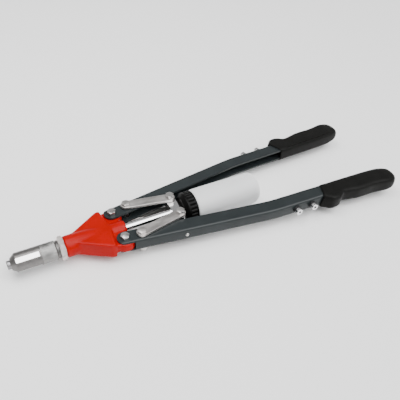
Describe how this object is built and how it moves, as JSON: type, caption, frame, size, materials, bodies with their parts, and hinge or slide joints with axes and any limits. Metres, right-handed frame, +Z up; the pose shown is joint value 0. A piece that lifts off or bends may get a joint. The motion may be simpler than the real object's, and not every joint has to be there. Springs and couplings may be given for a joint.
{
  "type": "hand riveter",
  "caption": "Two-hand lever blind riveter with long channel-steel arms, a red cast head, a linked draw tube with gripping jaws, and a bottle that collects the spent mandrels.",
  "frame": {"origin": "centre of the nosepiece's front face, on the tool axis", "axes": "+X from the nosepiece back to the grips, +Y to the right arm as the user holds it, +Z up with the arms lying flat"},
  "size_m": [0.5299, 0.1638, 0.044],
  "materials": {
    "chrome": "polished chrome plate with a light haze",
    "zinc": "bright zinc plate, satin",
    "link_steel": "nickel-plated pressed steel, satin",
    "red_paint": "glossy red enamel on die casting",
    "grey_paint": "semi-gloss dark blue-grey enamel",
    "hard_steel": "oil-blackened hardened steel",
    "black_oxide": "black oxide",
    "black_plastic": "moulded, ribbed",
    "bottle_plastic": "frosted translucent polyethylene",
    "grip_rubber": "soft moulded vinyl, matte"
  },
  "bodies": {
    "head": {"nosepiece": "chrome", "front_sleeve": "chrome", "sleeve_washer": "zinc", "sleeve_lock_nut": "zinc", "head_casting": "red_paint", "right_pivot_bolt": "zinc", "left_pivot_bolt": "zinc", "right_pivot_nut": "zinc", "left_pivot_nut": "zinc"},
    "draw_rod": {"draw_tube": "chrome", "jaw_case": "hard_steel", "jaw_case_nut": "hard_steel", "jaw_spring": "zinc", "crosshead": "link_steel", "cap_nut": "zinc", "right_crosshead_bolt": "zinc", "left_crosshead_bolt": "zinc", "right_crosshead_nut": "zinc", "left_crosshead_nut": "zinc", "bottle_cap": "black_plastic"},
    "jaw_pusher": {"jaw_pusher": "hard_steel"},
    "jaw_1": {"jaw_1": "hard_steel"},
    "jaw_2": {"jaw_2": "hard_steel"},
    "jaw_3": {"jaw_3": "hard_steel"},
    "mandrel_bottle": {"mandrel_bottle": "bottle_plastic"},
    "right_links": {"right_top_link": "link_steel", "right_bottom_link": "link_steel", "right_link_pin": "link_steel", "right_link_nut": "zinc"},
    "left_links": {"left_top_link": "link_steel", "left_bottom_link": "link_steel", "left_link_pin": "link_steel", "left_link_nut": "zinc"},
    "right_arm": {"right_arm": "grey_paint", "right_grip": "grip_rubber", "right_spare_holders": "black_oxide", "spare_nosepiece_1": "chrome", "spare_nosepiece_2": "chrome", "right_arm_rivet": "zinc"},
    "left_arm": {"left_arm": "grey_paint", "left_grip": "grip_rubber", "left_spare_holders": "black_oxide", "spare_nosepiece_3": "chrome", "spare_nosepiece_4": "chrome", "left_arm_rivet": "zinc"}
  },
  "joints": [
    {"name": "right_arm_pivot", "type": "hinge", "parent": "head", "child": "right_arm", "pos_m": [0.1355, 0.024, 0], "axis": [0, 0, 1], "range_deg": [0, 55]},
    {"name": "left_arm_pivot", "type": "hinge", "parent": "head", "child": "left_arm", "pos_m": [0.1355, -0.024, 0], "axis": [0, 0, 1], "range_deg": [-55, 0]},
    {"name": "draw_slide", "type": "slide", "parent": "head", "child": "draw_rod", "axis": [-1, 0, 0], "range_m": [0, 0.01566]},
    {"name": "right_link_pivot", "type": "hinge", "parent": "draw_rod", "child": "right_links", "pos_m": [0.21323, 0.0165, 0], "axis": [0, 0, -1], "range_deg": [0, 16.95]},
    {"name": "left_link_pivot", "type": "hinge", "parent": "draw_rod", "child": "left_links", "pos_m": [0.21323, -0.0165, 0], "axis": [0, 0, 1], "range_deg": [0, 16.95]},
    {"name": "jaw_pusher_slide", "type": "slide", "parent": "draw_rod", "child": "jaw_pusher", "axis": [1, 0, 0], "range_m": [0, 0.0025], "stiffness_N_per_m": 600, "springref_m": -0.003, "deforming": ["jaw_spring"]},
    {"name": "jaw_1_slide", "type": "slide", "parent": "draw_rod", "child": "jaw_1", "axis": [0.9659, 0, 0.2588], "range_m": [0, 0.00259]},
    {"name": "jaw_2_slide", "type": "slide", "parent": "draw_rod", "child": "jaw_2", "axis": [0.9659, -0.2241, -0.1294], "range_m": [0, 0.00259]},
    {"name": "jaw_3_slide", "type": "slide", "parent": "draw_rod", "child": "jaw_3", "axis": [0.9659, 0.2241, -0.1294], "range_m": [0, 0.00259]},
    {"name": "bottle_turn", "type": "hinge", "parent": "draw_rod", "child": "mandrel_bottle", "pos_m": [0.235, 0, 0], "axis": [1, 0, 0], "continuous": true}
  ],
  "couplings": [
    {"joint": "left_arm_pivot", "follows": "right_arm_pivot", "ratio": -1},
    {"joint": "draw_slide", "follows": "right_arm_pivot", "m_per_rad": 0.0163},
    {"joint": "right_link_pivot", "follows": "right_arm_pivot", "ratio": 0.308},
    {"joint": "left_link_pivot", "follows": "right_arm_pivot", "ratio": 0.308},
    {"joint": "jaw_1_slide", "follows": "jaw_pusher_slide", "ratio": 1.0353},
    {"joint": "jaw_2_slide", "follows": "jaw_pusher_slide", "ratio": 1.0353},
    {"joint": "jaw_3_slide", "follows": "jaw_pusher_slide", "ratio": 1.0353}
  ]
}
